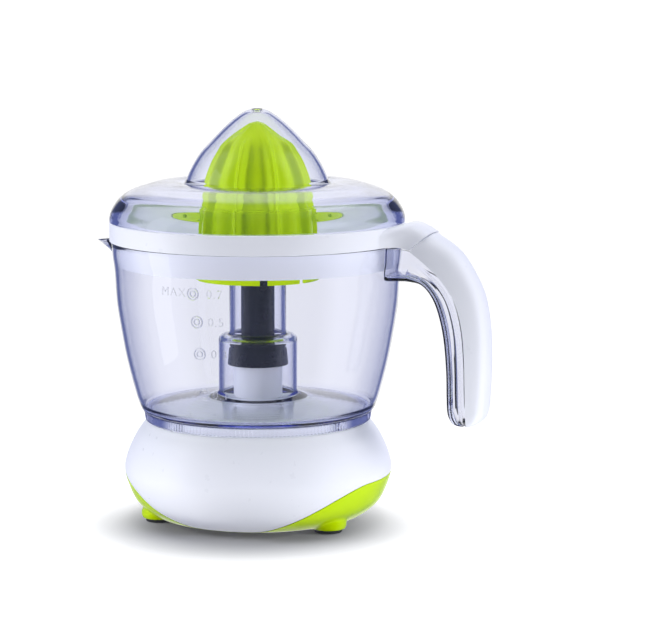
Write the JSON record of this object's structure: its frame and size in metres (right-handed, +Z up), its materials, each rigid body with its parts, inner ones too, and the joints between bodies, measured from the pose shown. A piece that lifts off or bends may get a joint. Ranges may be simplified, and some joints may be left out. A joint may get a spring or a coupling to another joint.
{
  "type": "citrus press juicer",
  "caption": "Electric citrus press: white base with green trim, clear handled jug, green strainer and ribbed cone, clear domed lid.",
  "frame": {"origin": "the middle of the object's footprint box, on the surface that the feet stand on; the drive axis is 17 mm from it towards -X", "axes": "+Z up along the drive axis, +X towards the jug's handle, -X towards the pouring spout"},
  "size_m": [0.218, 0.153, 0.2134],
  "materials": {
    "white_plastic": "injection-moulded gloss white ABS",
    "lime_plastic": "injection-moulded gloss lime green, slightly translucent in thin ribs",
    "clear_plastic": "clear polystyrene with a faint lavender tint, polished",
    "slate_plastic": "dark slate, satin gloss",
    "black_plastic": "fine matte texture",
    "natural_nylon": "natural nylon, as moulded",
    "soft_rubber": "matte moulded rubber",
    "bright_steel": "zinc-plated or ground steel",
    "core_steel": "stacked laminations, lacquered",
    "copper_wire": "enamelled copper winding",
    "sintered_bronze": "oil-filled sintered bronze"
  },
  "bodies": {
    "base": {"base_housing": "white_plastic", "spindle_tower": "white_plastic", "base_bottom_cover": "lime_plastic", "foot_pad_1": "soft_rubber", "foot_pad_2": "soft_rubber", "foot_pad_3": "soft_rubber", "cord_gland": "soft_rubber", "cover_screw_1": "bright_steel", "cover_screw_2": "bright_steel", "cover_screw_3": "bright_steel", "gearbox_screw_1": "bright_steel", "gearbox_screw_2": "bright_steel", "gearbox_screw_3": "bright_steel", "chassis_plate": "natural_nylon", "gearbox_cover": "natural_nylon", "stator_core": "core_steel", "stator_coil": "copper_wire", "motor_bracket": "bright_steel", "motor_bush": "sintered_bronze", "motor_screw_1": "bright_steel", "motor_screw_2": "bright_steel", "idler_axle": "bright_steel", "thrust_washer": "sintered_bronze", "tower_bush": "sintered_bronze", "shaft_seal": "soft_rubber", "switch_body": "black_plastic"},
    "rotor": {"motor_rotor": "core_steel", "motor_shaft": "bright_steel", "motor_pinion": "natural_nylon"},
    "idler": {"idler_gear": "natural_nylon"},
    "output": {"output_gear": "natural_nylon"},
    "plunger": {"thrust_plunger": "natural_nylon", "return_spring": "bright_steel"},
    "spindle": {"drive_spindle": "slate_plastic", "spindle_circlip": "bright_steel"},
    "lever": {"switch_lever": "bright_steel"},
    "jug": {"jug": "clear_plastic", "jug_chimney": "clear_plastic", "jug_handle": "clear_plastic", "handle_cover": "white_plastic"},
    "collector": {"collector_ring": "white_plastic"},
    "strainer": {"strainer": "lime_plastic"},
    "cone": {"cone": "lime_plastic"},
    "lid": {"lid": "clear_plastic"}
  },
  "joints": [
    {"name": "spindle_press", "type": "slide", "parent": "base", "child": "plunger", "axis": [0, 0, -1], "range_m": [0, 0.0025], "stiffness_N_per_m": 800, "springref_m": -0.004, "deforming": ["return_spring"]},
    {"name": "lever_turn", "type": "hinge", "parent": "base", "child": "lever", "pos_m": [-0.00009, 0.00178, 0.0125], "axis": [0.1045, -0.9945, 0], "range_deg": [0, 10]},
    {"name": "cone_spin", "type": "hinge", "parent": "strainer", "child": "cone", "pos_m": [-0.017, 0, 0.15], "axis": [0, 0, 1], "continuous": true},
    {"name": "spindle_spin", "type": "hinge", "parent": "plunger", "child": "spindle", "pos_m": [-0.017, 0, 0.09], "axis": [0, 0, 1], "continuous": true},
    {"name": "output_spin", "type": "hinge", "parent": "base", "child": "output", "pos_m": [-0.017, 0, 0.04], "axis": [0, 0, 1], "continuous": true},
    {"name": "idler_spin", "type": "hinge", "parent": "base", "child": "idler", "pos_m": [-0.03388, 0.01706, 0.036], "axis": [0, 0, 1], "continuous": true},
    {"name": "rotor_spin", "type": "hinge", "parent": "base", "child": "rotor", "pos_m": [-0.04684, -0.00314, 0.02], "axis": [0, 0, 1], "continuous": true},
    {"name": "jug_lift", "type": "slide", "parent": "base", "child": "jug", "axis": [0, 0, 1], "range_m": [0, 0.12]},
    {"name": "collector_lift", "type": "slide", "parent": "jug", "child": "collector", "axis": [0, 0, 1], "range_m": [0, 0.06]},
    {"name": "strainer_lift", "type": "slide", "parent": "collector", "child": "strainer", "axis": [0, 0, 1], "range_m": [0, 0.05]},
    {"name": "lid_lift", "type": "slide", "parent": "strainer", "child": "lid", "axis": [0, 0, 1], "range_m": [0, 0.08]}
  ],
  "couplings": [
    {"joint": "lever_turn", "follows": "spindle_press", "rad_per_m": 64},
    {"joint": "spindle_spin", "follows": "cone_spin", "ratio": 1},
    {"joint": "output_spin", "follows": "cone_spin", "ratio": 1},
    {"joint": "idler_spin", "follows": "cone_spin", "ratio": -5},
    {"joint": "rotor_spin", "follows": "cone_spin", "ratio": 25}
  ]
}
